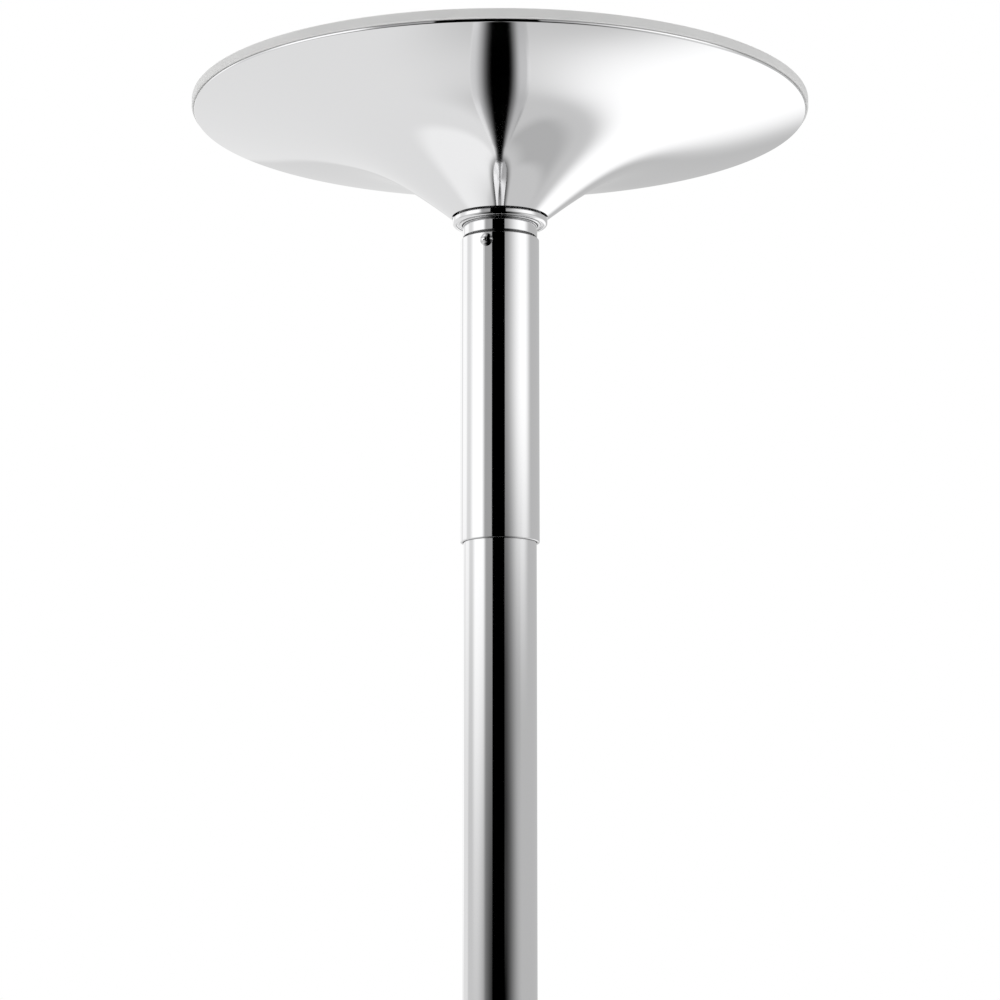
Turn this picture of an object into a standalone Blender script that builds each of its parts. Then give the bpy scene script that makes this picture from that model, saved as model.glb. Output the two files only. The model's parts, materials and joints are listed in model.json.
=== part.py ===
"""Floor-to-ceiling chromed pole, clamped between two trumpet-shaped end plates.

The pole turns on a ball bearing at each end.  A screw jack under the ceiling end sets the
height, and a cover sleeve hides it.  Metres, +Z up, floor plane at z = 0, pole on the Z axis.
"""

import math

import bmesh
import bpy
from mathutils import Matrix, Vector

# ---------------------------------------------------------------- overall sizes
HEIGHT = 2.400            # floor plane to ceiling plane
POLE_RADIUS = 0.0225
TUBE_WALL = 0.0015
JOINT_HEIGHT = 1.150      # where the lower and upper tubes meet
GAP = 0.0003              # clearance between neighbouring pieces

# ---------------------------------------------------------------- trumpet end plates
RIM_RADIUS = 0.191        # edge of the chromed trumpet
SHEET = 0.0015
LIP_HEIGHT = 0.0014       # straight edge of the trumpet above its gasket
LIP_ROUND = 0.0007
SHOULDER_SLOPE = 0.125    # the four terms of the flare's slope, see flare_slope()
NECK_SLOPE = 0.690
TURN_RADIUS = 0.0794
TURN_SPREAD = 0.0175
EDGE_SLOPE = 0.1525
EDGE_SPREAD = 0.0674
FLARE_POINTS = 9

GASKET_OVERHANG = 0.0015  # gasket's edge past the trumpet's rim
GASKET_HEIGHT = 0.0060
GASKET_WIDTH = 0.0085
GASKET_ROUND = 0.0008

PLATE_THICKNESS = 0.0040
PLATE_LIFT = 0.0015       # plate face above the floor or below the ceiling

COLLAR_WIDTH = 0.0068     # least distance from the neck to the trumpet's mouth
COLLAR_INSET = 0.00046    # collar's edge inside the mouth
COLLAR_HEIGHT = 0.0050
COLLAR_ROUND = 0.0010
COLLAR_GROOVE_OFFSET = 0.0020
COLLAR_GROOVE_WIDTH = 0.0020
COLLAR_GROOVE_DEPTH = 0.0012

NECK_STEP = 0.0007        # neck's surface outside the pole's
NECK_SHOWN = 0.0082       # neck that shows past the collar
NECK_CLEARANCE = 0.0004   # running clearance in the collar

# ---------------------------------------------------------------- bearings and hubs
BEARING_BORE = 0.0100
BEARING_OUTER = 0.0210
BEARING_WIDTH = 0.0120
RACE_WALL = 0.0025
BALL_COUNT = 9
BALL_CLEARANCE = 0.0003
CAGE_THICKNESS = 0.0012
CAGE_HEIGHT = 0.0034

HUB_WALL = 0.0048
HUB_MOUTH_CLEARANCE = 0.0042
HUB_FLANGE_HEIGHT = 0.0070
HUB_LEDGE = 0.0070        # ledge under the bearing's outer race
HUB_TOP_DROP = 0.0022     # hub's top face below the trumpet's mouth

CIRCLIP_WIDTH = 0.0012
CIRCLIP_REACH = 0.0018    # circlip's edge outside the shaft
GROOVE_DEPTH = 0.0008

HUB_SCREWS = 4
HUB_SCREW_OFFSET = 0.0162  # screws from the hub's wall
HUB_SCREW_EDGE = 0.0140    # flange's edge from the screws
HUB_SCREW_RADIUS = 0.0030
HUB_SCREW_HEAD = 0.0058
HUB_SCREW_HEAD_HEIGHT = 0.0028

SPIGOT_LENGTH = 0.0400
SHOULDER_DROP = 0.0001     # spindle's shoulder inside the inner race's edge

LOCK_SCREW_RADIUS = 0.00125
LOCK_SCREW_LENGTH = 0.0042
LOCK_SCREW_REST = 0.0012  # screw's tip behind the collar's bore when the pole is free to turn

# ---------------------------------------------------------------- tube joint
JOINT_LENGTH = 0.140
JOINT_SPLIT = 0.0012
JOINT_BORE = 0.0080
EXPANDER_RADIUS = 0.0045
EXPANDER_SPACING = 0.080
EXPANDER_SEAT = 0.0010    # depth of its seat in the front half
EXPANDER_DROP = 0.0005    # its outer end below the core's surface
ACCESS_RADIUS = 0.0032
SOCKET_RADIUS = 0.0022
SOCKET_DEPTH = 0.0040
GRUB_RADIUS = 0.0026
GRUB_LENGTH = 0.0060
GRUB_INSET = 0.020        # grub screws from the tube's end

# ---------------------------------------------------------------- jack and cover sleeve
SLEEVE_WALL = 0.00154
SLEEVE_LENGTH = 0.1913
SLEEVE_CHAMFER = 0.0004
SLEEVE_SCREW_DROP = 0.0059
SLEEVE_SCREW_TURN = math.radians(-20.0)   # from the front, -Y
SLEEVE_SCREW_RADIUS = 0.0020
SLEEVE_SCREW_REACH = 0.0050
SLEEVE_SCREW_HEAD = 0.0039
SLEEVE_SCREW_HEAD_HEIGHT = 0.0014
RECESS_LENGTH = 0.0042
RECESS_WIDTH = 0.0009
RECESS_DEPTH = 0.0009
RECESS_TURN = math.radians(18.0)

HEAD_LENGTH = 0.0246
JACK_RADIUS = 0.0110
JACK_LENGTH = 0.1820
JACK_CHAMFER = 0.0010
JACK_SOCKET = 0.0220      # depth of the jack screw in the head

JACK_OPENING = 0.1000     # upper tube's top to the head, set with the jack
BUSH_FLANGE = 0.0060
BUSH_SPIGOT = 0.0400
BUSH_NECK_WALL = 0.0050   # over the jack screw
BUSH_NECK_HEIGHT = 0.0360
WASHER_THICKNESS = 0.0020
WASHER_WIDTH = 0.0060     # over the jack screw
NUT_WALL = 0.0040         # over the jack screw, at the middle of a flat
JACK_NUT_HEIGHT = 0.0195
LOCK_NUT_HEIGHT = 0.0095
NUT_CHAMFER = 0.0012

# ---------------------------------------------------------------- mesh resolution
FLARE_SIDES = 44
ROUND_SIDES = 28
SMALL_SIDES = 12
CAGE_SIDES = 18
BALL_SIDES = 8
ROUND_STEPS = 2
CUTTER_PAST = 0.002       # how far a cutter runs past the wall it goes through
SIDES = {"left": -1, "right": 1}
SOCKET_SHARE = 0.45       # depth of a drive socket as a share of its screw

# ---------------------------------------------------------------- sizes worked out from the above
GASKET_RADIUS = RIM_RADIUS + GASKET_OVERHANG
TUBE_BORE = POLE_RADIUS - TUBE_WALL
SPIGOT_RADIUS = TUBE_BORE - GAP
TRUMPET_BASE = GASKET_HEIGHT + GAP
SURFACE_START = TRUMPET_BASE + LIP_HEIGHT
BALL_CIRCLE = (BEARING_BORE + BEARING_OUTER) / 2
INNER_RACE_OUTER = BEARING_BORE + RACE_WALL
OUTER_RACE_INNER = BEARING_OUTER - RACE_WALL
BALL_RADIUS = (OUTER_RACE_INNER - INNER_RACE_OUTER) / 2 - BALL_CLEARANCE
CIRCLIP_RADIUS = BEARING_BORE + CIRCLIP_REACH
SPINDLE_SHOULDER = INNER_RACE_OUTER - SHOULDER_DROP
HUB_BOTTOM = PLATE_LIFT + PLATE_THICKNESS + GAP
HUB_RADIUS = BEARING_OUTER + HUB_WALL
HUB_BORE = BEARING_OUTER - HUB_LEDGE
HUB_SCREW_CIRCLE = HUB_RADIUS + HUB_SCREW_OFFSET
HUB_FLANGE_RADIUS = HUB_SCREW_CIRCLE + HUB_SCREW_EDGE
NECK_RADIUS = POLE_RADIUS + NECK_STEP
MOUTH_RADIUS = max(NECK_RADIUS + COLLAR_WIDTH, HUB_RADIUS + HUB_MOUTH_CLEARANCE)
COLLAR_RADIUS = MOUTH_RADIUS - COLLAR_INSET
COLLAR_BORE = NECK_RADIUS + NECK_CLEARANCE
COLLAR_GROOVE_INNER = NECK_RADIUS + COLLAR_GROOVE_OFFSET
COLLAR_GROOVE_OUTER = COLLAR_GROOVE_INNER + COLLAR_GROOVE_WIDTH


def flare_slope(radius):
    """Fall of the trumpet's surface per unit of radius: steep by the neck, shallow at the
    shoulder, and a little steeper again towards the rim."""
    neck = NECK_SLOPE / (1 + math.exp((radius - TURN_RADIUS) / TURN_SPREAD))
    edge = EDGE_SLOPE * math.exp((radius - RIM_RADIUS) / EDGE_SPREAD)
    return SHOULDER_SLOPE + neck + edge


def flare_height(radius, steps=120):
    """Height of the trumpet's outer surface above the start of the flare at the rim."""
    width = (RIM_RADIUS - radius) / steps
    middles = (radius + width * (step + 0.5) for step in range(steps))
    return sum(flare_slope(middle) for middle in middles) * width


MOUTH_HEIGHT = SURFACE_START + flare_height(MOUTH_RADIUS)
COLLAR_BASE = MOUTH_HEIGHT + GAP
COLLAR_TOP = COLLAR_BASE + COLLAR_HEIGHT
HUB_TOP = MOUTH_HEIGHT - HUB_TOP_DROP
BEARING_TOP = HUB_TOP - GAP
BEARING_BASE = BEARING_TOP - BEARING_WIDTH
NECK_BASE = COLLAR_BASE + NECK_CLEARANCE
NECK_TOP = COLLAR_TOP + NECK_SHOWN
SLEEVE_TOP = HEIGHT - NECK_TOP - GAP
SLEEVE_BOTTOM = SLEEVE_TOP - SLEEVE_LENGTH
SLEEVE_INNER = POLE_RADIUS + GAP
SLEEVE_OUTER = SLEEVE_INNER + SLEEVE_WALL
SLEEVE_SCREW_HEIGHT = SLEEVE_TOP - SLEEVE_SCREW_DROP
HEAD_BOTTOM = HEIGHT - NECK_TOP - HEAD_LENGTH
HEAD_WAIST = SLEEVE_OUTER - SLEEVE_SCREW_REACH - GAP
HEAD_LAND = SLEEVE_SCREW_DROP - SLEEVE_SCREW_RADIUS - 2 * GAP
UPPER_TUBE_TOP = HEAD_BOTTOM - JACK_OPENING
LOWER_GRUB_HEIGHT = NECK_TOP + GRUB_INSET
UPPER_GRUB_HEIGHT = UPPER_TUBE_TOP - GRUB_INSET
LOCK_SCREW_HEIGHT = (COLLAR_BASE + COLLAR_TOP - COLLAR_GROOVE_DEPTH) / 2


# ---------------------------------------------------------------- materials
def material(name, colour, roughness, metallic):
    made = bpy.data.materials.new(name)
    made.use_nodes = True
    shader = made.node_tree.nodes["Principled BSDF"]
    shader.inputs["Base Color"].default_value = (*colour, 1.0)
    shader.inputs["Roughness"].default_value = roughness
    shader.inputs["Metallic"].default_value = metallic
    made.diffuse_color = (*colour, 1.0)
    return made


def clear_scene():
    for old in list(bpy.data.objects):
        bpy.data.objects.remove(old, do_unlink=True)


def finishes():
    return {
        "chrome": material("chrome", (0.80, 0.80, 0.81), 0.06, 1.0),
        "rubber": material("rubber", (0.42, 0.42, 0.42), 0.75, 0.0),
        "steel": material("steel", (0.55, 0.56, 0.58), 0.35, 1.0),
        "zinc": material("zinc", (0.62, 0.62, 0.60), 0.40, 1.0),
        "brass": material("brass", (0.72, 0.56, 0.26), 0.35, 1.0),
        "black": material("black", (0.03, 0.03, 0.03), 0.50, 1.0),
    }


# ---------------------------------------------------------------- shape helpers
def finish_object(name, mesh_data, finish, parent, smooth=True):
    """Turns a bmesh into a named object under its parent."""
    bmesh.ops.recalc_face_normals(mesh_data, faces=mesh_data.faces)
    mesh = bpy.data.meshes.new(name)
    mesh_data.to_mesh(mesh)
    mesh_data.free()
    if smooth:
        mesh.shade_smooth()
        mesh.set_sharp_from_angle(angle=math.radians(35))
    mesh.materials.append(finish)
    made = bpy.data.objects.new(name, mesh)
    bpy.context.scene.collection.objects.link(made)
    made.parent = parent
    return made


def turned_mesh(outline, sides):
    """Spins a closed (radius, height) outline round Z.  Points on the axis close the solid."""
    mesh_data = bmesh.new()
    corners = [mesh_data.verts.new((radius, 0, height)) for radius, height in outline]
    on_axis = outline[0][0] == 0 and outline[-1][0] == 0
    pairs = list(zip(corners, corners[1:]))
    if not on_axis:
        pairs.append((corners[-1], corners[0]))
    edges = [mesh_data.edges.new(pair) for pair in pairs]
    bmesh.ops.spin(
        mesh_data,
        geom=corners + edges,
        cent=(0, 0, 0),
        axis=(0, 0, 1),
        angle=math.tau,
        steps=sides,
        use_merge=False,
        use_duplicate=False,
    )
    bmesh.ops.remove_doubles(mesh_data, verts=mesh_data.verts, dist=1e-6)
    return mesh_data


def turned(name, outline, finish, parent, sides=ROUND_SIDES):
    return finish_object(name, turned_mesh(outline, sides), finish, parent)


def tube_outline(inner, outer, low, high, chamfer=0.0):
    if chamfer == 0.0:
        return [(inner, low), (outer, low), (outer, high), (inner, high)]
    return [
        (inner, low),
        (outer - chamfer, low),
        (outer, low + chamfer),
        (outer, high - chamfer),
        (outer - chamfer, high),
        (inner, high),
    ]


def arc(centre_radius, centre_height, size, start, end, steps=ROUND_STEPS):
    """Points of a corner round in the (radius, height) plane, angles in degrees."""
    angles = [math.radians(start + (end - start) * step / steps) for step in range(steps + 1)]
    return [
        (centre_radius + size * math.cos(angle), centre_height + size * math.sin(angle))
        for angle in angles
    ]


def helper(made):
    made.hide_render = True
    made.display_type = "WIRE"
    return made


def rod_mesh(radius, start, end, sides=SMALL_SIDES):
    """A closed cylinder between two points."""
    start = Vector(start)
    end = Vector(end)
    along = end - start
    mesh_data = bmesh.new()
    bmesh.ops.create_cone(
        mesh_data,
        cap_ends=True,
        segments=sides,
        radius1=radius,
        radius2=radius,
        depth=along.length,
        matrix=Matrix.Translation((start + end) / 2)
        @ along.to_track_quat("Z", "Y").to_matrix().to_4x4(),
    )
    return mesh_data


def rods_cutter(name, rods, parent, finish):
    """One hidden cutter made of several (radius, start, end) cylinders that stay apart."""
    joined = bpy.data.meshes.new(name)
    everything = bmesh.new()
    for radius, start, end in rods:
        single = rod_mesh(radius, start, end)
        single.to_mesh(joined)
        single.free()
        everything.from_mesh(joined)
    return helper(finish_object(name, everything, finish, parent, smooth=False))


def combine(target, other, operation):
    modifier = target.modifiers.new(f"{operation.lower()}_{other.name}", "BOOLEAN")
    modifier.operation = operation
    modifier.solver = "EXACT"
    modifier.object = other


def empty(name, parent=None, location=(0, 0, 0), turn=(0, 0, 0)):
    made = bpy.data.objects.new(name, None)
    bpy.context.scene.collection.objects.link(made)
    made.empty_display_size = 0.05
    made.parent = parent
    made.location = location
    made.rotation_euler = turn
    return made


def round_points(count, radius, height, first=0.0):
    """Points evenly spaced on a circle, the first at an angle from +X."""
    angles = [first + math.tau * index / count for index in range(count)]
    return [(radius * math.cos(angle), radius * math.sin(angle), height) for angle in angles]


def side_point(turn, radius, height):
    """Point at an angle from the front, -Y, towards +X."""
    return (radius * math.sin(turn), -radius * math.cos(turn), height)


# ---------------------------------------------------------------- end plate pieces
def make_gasket(prefix, place, finish):
    inner = GASKET_RADIUS - GASKET_WIDTH
    low_corner = arc(GASKET_RADIUS - GASKET_ROUND, GASKET_ROUND, GASKET_ROUND, -90, 0)
    high_corner = arc(
        GASKET_RADIUS - GASKET_ROUND, GASKET_HEIGHT - GASKET_ROUND, GASKET_ROUND, 0, 90
    )
    outline = [(inner, 0), *low_corner, *high_corner, (inner, GASKET_HEIGHT)]
    return turned(f"{prefix}_gasket", outline, finish["rubber"], place, FLARE_SIDES)


def make_trumpet(prefix, place, finish):
    """Spun sheet cover: the outer surface follows the flare, the inner one lies a sheet below."""
    first = RIM_RADIUS - LIP_ROUND
    radii = [
        first + (MOUTH_RADIUS - first) * index / (FLARE_POINTS - 1) for index in range(FLARE_POINTS)
    ]
    outer = []
    inner = []
    for radius in radii:
        height = SURFACE_START + flare_height(radius)
        lean = math.atan(flare_slope(radius))
        outer.append((radius, height))
        inner.append((radius - SHEET * math.sin(lean), height - SHEET * math.cos(lean)))
    inner[0] = (first - SHEET, TRUMPET_BASE)
    lip = [(RIM_RADIUS, TRUMPET_BASE), (RIM_RADIUS, SURFACE_START - LIP_ROUND)]
    outline = lip + outer + inner[::-1]
    return turned(f"{prefix}_trumpet", outline, finish["chrome"], place, FLARE_SIDES)


def make_plate(prefix, place, finish):
    """Backing plate inside the gasket, with a countersunk hole for each hub screw."""
    radius = GASKET_RADIUS - GASKET_WIDTH - GAP
    top = PLATE_LIFT + PLATE_THICKNESS
    outline = [(0, PLATE_LIFT), (radius, PLATE_LIFT), (radius, top), (0, top)]
    plate = turned(f"{prefix}_plate", outline, finish["zinc"], place, FLARE_SIDES)
    cutter = countersink_cutter(f"{prefix}_plate_holes", place, finish)
    combine(plate, cutter, "DIFFERENCE")
    return plate


def countersink_cutter(name, place, finish):
    """Cone and shank clearances of the hub screws, one closed shape for each screw."""
    low = PLATE_LIFT - GAP
    outline = [
        (0, low),
        (HUB_SCREW_HEAD + 2 * GAP, low),
        (HUB_SCREW_HEAD + 2 * GAP, PLATE_LIFT + GAP),
        (HUB_SCREW_RADIUS + GAP, PLATE_LIFT + GAP + HUB_SCREW_HEAD_HEIGHT),
        (HUB_SCREW_RADIUS + GAP, HUB_BOTTOM + GAP),
        (0, HUB_BOTTOM + GAP),
    ]
    return helper(spread_copies(name, outline, place, finish))


def spread_copies(name, outline, place, finish):
    joined = bpy.data.meshes.new(name)
    everything = bmesh.new()
    for point in round_points(HUB_SCREWS, HUB_SCREW_CIRCLE, 0, math.pi / HUB_SCREWS):
        single = turned_mesh(outline, SMALL_SIDES)
        bmesh.ops.translate(single, verts=single.verts, vec=point)
        single.to_mesh(joined)
        single.free()
        everything.from_mesh(joined)
    return finish_object(name, everything, finish["zinc"], place, smooth=False)


def make_hub(prefix, place, finish):
    """Flanged bearing housing, seated on the plate and reaching into the trumpet's mouth."""
    seat = BEARING_OUTER + GAP
    seat_base = BEARING_BASE - GAP
    flange_top = HUB_BOTTOM + HUB_FLANGE_HEIGHT
    outline = [
        (HUB_BORE, HUB_BOTTOM),
        (HUB_FLANGE_RADIUS, HUB_BOTTOM),
        (HUB_FLANGE_RADIUS, flange_top),
        (HUB_RADIUS, flange_top),
        (HUB_RADIUS, HUB_TOP),
        (seat, HUB_TOP),
        (seat, seat_base),
        (HUB_BORE, seat_base),
    ]
    hub = turned(f"{prefix}_hub", outline, finish["steel"], place)
    centres = round_points(HUB_SCREWS, HUB_SCREW_CIRCLE, 0, math.pi / HUB_SCREWS)
    low = Vector((0, 0, HUB_BOTTOM - GAP))
    high = Vector((0, 0, flange_top + GAP))
    rods = [(HUB_SCREW_RADIUS + GAP, Vector(c) + low, Vector(c) + high) for c in centres]
    combine(hub, rods_cutter(f"{prefix}_hub_holes", rods, place, finish["steel"]), "DIFFERENCE")
    return hub


def make_hub_screws(prefix, place, finish):
    shoulder = PLATE_LIFT + GAP + HUB_SCREW_HEAD_HEIGHT
    end = HUB_BOTTOM + HUB_FLANGE_HEIGHT
    outline = [
        (0, PLATE_LIFT + 2 * GAP),
        (HUB_SCREW_HEAD, PLATE_LIFT + 2 * GAP),
        (HUB_SCREW_RADIUS, shoulder),
        (HUB_SCREW_RADIUS, end),
        (0, end),
    ]
    points = round_points(HUB_SCREWS, HUB_SCREW_CIRCLE, 0, math.pi / HUB_SCREWS)
    for index, point in enumerate(points, start=1):
        screw = turned(f"{prefix}_hub_screw_{index}", outline, finish["zinc"], place, SMALL_SIDES)
        screw.location = point


def make_collar(prefix, place, finish, lock_screws=False):
    """Ring over the trumpet's mouth, with a groove in its outward face."""
    centre = COLLAR_RADIUS - COLLAR_ROUND
    bottom_corner = arc(centre, COLLAR_BASE + COLLAR_ROUND, COLLAR_ROUND, -90, 0)
    top_corner = arc(centre, COLLAR_TOP - COLLAR_ROUND, COLLAR_ROUND, 0, 90)
    outline = [
        (COLLAR_BORE, COLLAR_BASE),
        *bottom_corner,
        *top_corner,
        (COLLAR_GROOVE_OUTER, COLLAR_TOP),
        (COLLAR_GROOVE_OUTER, COLLAR_TOP - COLLAR_GROOVE_DEPTH),
        (COLLAR_GROOVE_INNER, COLLAR_TOP - COLLAR_GROOVE_DEPTH),
        (COLLAR_GROOVE_INNER, COLLAR_TOP),
        (COLLAR_BORE, COLLAR_TOP),
    ]
    collar = turned(f"{prefix}_collar", outline, finish["chrome"], place)
    if lock_screws:
        outer = COLLAR_RADIUS + 2 * GAP
        inner = COLLAR_BORE - 2 * GAP
        rods = side_rods(LOCK_SCREW_HEIGHT, outer, inner, LOCK_SCREW_RADIUS + GAP)
        cutter = rods_cutter(f"{prefix}_collar_holes", rods, place, finish["chrome"])
        combine(collar, cutter, "DIFFERENCE")
    return collar


def make_outer_race(prefix, place, finish):
    outline = tube_outline(OUTER_RACE_INNER, BEARING_OUTER, BEARING_BASE, BEARING_TOP)
    return turned(f"{prefix}_outer_race", outline, finish["steel"], place)


def make_inner_race(prefix, place, finish):
    outline = tube_outline(BEARING_BORE, INNER_RACE_OUTER, BEARING_BASE, BEARING_TOP)
    return turned(f"{prefix}_inner_race", outline, finish["steel"], place)


def make_ball_cage(prefix, place, finish):
    """Cage ring with its balls, which it carries round between the races."""
    middle = (BEARING_BASE + BEARING_TOP) / 2
    outline = tube_outline(
        BALL_CIRCLE - CAGE_THICKNESS / 2,
        BALL_CIRCLE + CAGE_THICKNESS / 2,
        middle - CAGE_HEIGHT / 2,
        middle + CAGE_HEIGHT / 2,
    )
    cage = turned(f"{prefix}_ball_cage", outline, finish["brass"], place, CAGE_SIDES)
    balls = bmesh.new()
    for point in round_points(BALL_COUNT, BALL_CIRCLE, middle):
        bmesh.ops.create_uvsphere(
            balls,
            u_segments=BALL_SIDES,
            v_segments=BALL_SIDES // 2 + 1,
            radius=BALL_RADIUS,
            matrix=Matrix.Translation(point),
        )
    balls_object = finish_object(f"{prefix}_balls", balls, finish["steel"], place)
    combine(cage, helper(balls_object), "UNION")
    return cage


def shaft_outline():
    """Shaft, circlip groove, shoulder and neck, common to both spindles, from the tip up."""
    shaft = BEARING_BORE - GAP
    tip = BEARING_BASE - 5 * CIRCLIP_WIDTH
    groove_top = BEARING_BASE - GAP
    groove_base = groove_top - CIRCLIP_WIDTH - 2 * GAP
    shoulder_base = BEARING_TOP + GAP
    return [
        (0, tip),
        (shaft, tip),
        (shaft, groove_base),
        (shaft - GROOVE_DEPTH, groove_base),
        (shaft - GROOVE_DEPTH, groove_top),
        (shaft, groove_top),
        (shaft, shoulder_base),
        (SPINDLE_SHOULDER, shoulder_base),
        (SPINDLE_SHOULDER, NECK_BASE),
        (NECK_RADIUS, NECK_BASE),
        (NECK_RADIUS, NECK_TOP),
    ]


def make_circlip(prefix, place, finish):
    """Retaining ring in the spindle's groove, under the inner race."""
    inner = BEARING_BORE - GROOVE_DEPTH
    high = BEARING_BASE - 2 * GAP
    outline = tube_outline(inner, CIRCLIP_RADIUS, high - CIRCLIP_WIDTH, high)
    return turned(f"{prefix}_circlip", outline, finish["black"], place)


def make_end(prefix, fixed, moving, cage, finish, lock_screws):
    """Every piece that the two ends share."""
    make_gasket(prefix, fixed, finish)
    make_trumpet(prefix, fixed, finish)
    make_plate(prefix, fixed, finish)
    make_hub(prefix, fixed, finish)
    make_hub_screws(prefix, fixed, finish)
    make_collar(prefix, fixed, finish, lock_screws)
    make_outer_race(prefix, fixed, finish)
    make_ball_cage(prefix, cage, finish)
    make_inner_race(prefix, moving, finish)
    make_circlip(prefix, moving, finish)


# ---------------------------------------------------------------- base
def make_base_spindle(place, finish):
    spigot_top = NECK_TOP + SPIGOT_LENGTH
    outline = [
        *shaft_outline(),
        (SPIGOT_RADIUS, NECK_TOP),
        (SPIGOT_RADIUS, spigot_top),
        (0, spigot_top),
    ]
    spindle = turned("base_spindle", outline, finish["chrome"], place)
    holes = grub_cutter("base_spindle_holes", LOWER_GRUB_HEIGHT, place, finish)
    combine(spindle, holes, "DIFFERENCE")
    return spindle


def make_lock_screws(place, finish):
    """Two grub screws in the base collar: turned in, they press on the neck and stop the spin."""
    tip = COLLAR_BORE + LOCK_SCREW_REST
    for label, side in SIDES.items():
        name = f"spin_lock_screw_{label}"
        end = tip + LOCK_SCREW_LENGTH
        make_socket_screw(name, side, LOCK_SCREW_RADIUS, tip, end, LOCK_SCREW_HEIGHT, place, finish)


def make_socket_screw(name, side, radius, start, end, height, place, finish):
    """Headless screw along X with a drive socket in its outer end."""
    rod = rod_mesh(radius, (side * start, 0, height), (side * end, 0, height))
    screw = finish_object(name, rod, finish["black"], place)
    depth = SOCKET_SHARE * (end - start)
    rods = [(radius / 2, (side * (end - depth), 0, height), (side * (end + GAP), 0, height))]
    socket = rods_cutter(f"{name}_socket", rods, place, finish["black"])
    combine(screw, socket, "DIFFERENCE")


# ---------------------------------------------------------------- tubes and their joint
def side_rods(height, outer, inner, radius):
    """A hole at each side of the pole, along X."""
    return [(radius, (side * inner, 0, height), (side * outer, 0, height)) for side in (-1, 1)]


def grub_cutter(name, height, place, finish):
    inner = POLE_RADIUS - GRUB_LENGTH - 2 * GAP
    rods = side_rods(height, POLE_RADIUS + 2 * GAP, inner, GRUB_RADIUS + GAP)
    return rods_cutter(name, rods, place, finish["steel"])


def make_grubs(prefix, height, place, finish):
    """Two flush socket screws that hold a tube on the spigot inside it."""
    start = POLE_RADIUS - GRUB_LENGTH
    end = POLE_RADIUS - GAP
    for label, side in SIDES.items():
        name = f"{prefix}_grub_{label}"
        make_socket_screw(name, side, GRUB_RADIUS, start, end, height, place, finish)


def access_cutter(name, height, place, finish):
    inner = (0, TUBE_BORE - CUTTER_PAST, height)
    outer = (0, POLE_RADIUS + CUTTER_PAST, height)
    rods = [(ACCESS_RADIUS, inner, outer)]
    return rods_cutter(name, rods, place, finish["steel"])


def make_tubes(place, finish):
    lower_base = NECK_TOP + GAP
    outline = tube_outline(TUBE_BORE, POLE_RADIUS, lower_base, JOINT_HEIGHT)
    lower = turned("lower_tube", outline, finish["chrome"], place)
    grub_holes = grub_cutter("lower_tube_holes", LOWER_GRUB_HEIGHT, place, finish)
    combine(lower, grub_holes, "DIFFERENCE")
    low_hole = JOINT_HEIGHT - EXPANDER_SPACING / 2
    combine(lower, access_cutter("lower_tube_access", low_hole, place, finish), "DIFFERENCE")

    outline = tube_outline(TUBE_BORE, POLE_RADIUS, JOINT_HEIGHT + GAP, UPPER_TUBE_TOP)
    upper = turned("upper_tube", outline, finish["chrome"], place)
    high_hole = JOINT_HEIGHT + EXPANDER_SPACING / 2
    combine(upper, access_cutter("upper_tube_access", high_hole, place, finish), "DIFFERENCE")
    grub_holes = grub_cutter("upper_tube_holes", UPPER_GRUB_HEIGHT, place, finish)
    combine(upper, grub_holes, "DIFFERENCE")
    make_grubs("lower_tube", LOWER_GRUB_HEIGHT, place, finish)
    make_grubs("upper_tube", UPPER_GRUB_HEIGHT, place, finish)


def half_shell_mesh(side):
    """Half of the joint core: a D-shaped bar with a half-round channel down its flat."""
    outer = SPIGOT_RADIUS
    flat = JOINT_SPLIT / 2
    steps = ROUND_SIDES // 2
    start = math.asin(flat / outer)
    rim = [start + (math.pi - 2 * start) * step / steps for step in range(steps + 1)]
    points = [(outer * math.cos(angle), outer * math.sin(angle)) for angle in rim]
    inner_start = math.asin(flat / JOINT_BORE)
    hollow_steps = steps // 2
    hollow = [
        math.pi - inner_start - (math.pi - 2 * inner_start) * step / hollow_steps
        for step in range(hollow_steps + 1)
    ]
    points += [(JOINT_BORE * math.cos(angle), JOINT_BORE * math.sin(angle)) for angle in hollow]
    mesh_data = bmesh.new()
    low = JOINT_HEIGHT - JOINT_LENGTH / 2
    corners = [mesh_data.verts.new((x, side * y, low)) for x, y in points]
    face = mesh_data.faces.new(corners)
    grown = bmesh.ops.extrude_face_region(mesh_data, geom=[face])["geom"]
    raised = [item for item in grown if isinstance(item, bmesh.types.BMVert)]
    bmesh.ops.translate(mesh_data, verts=raised, vec=(0, 0, JOINT_LENGTH))
    return mesh_data


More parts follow.
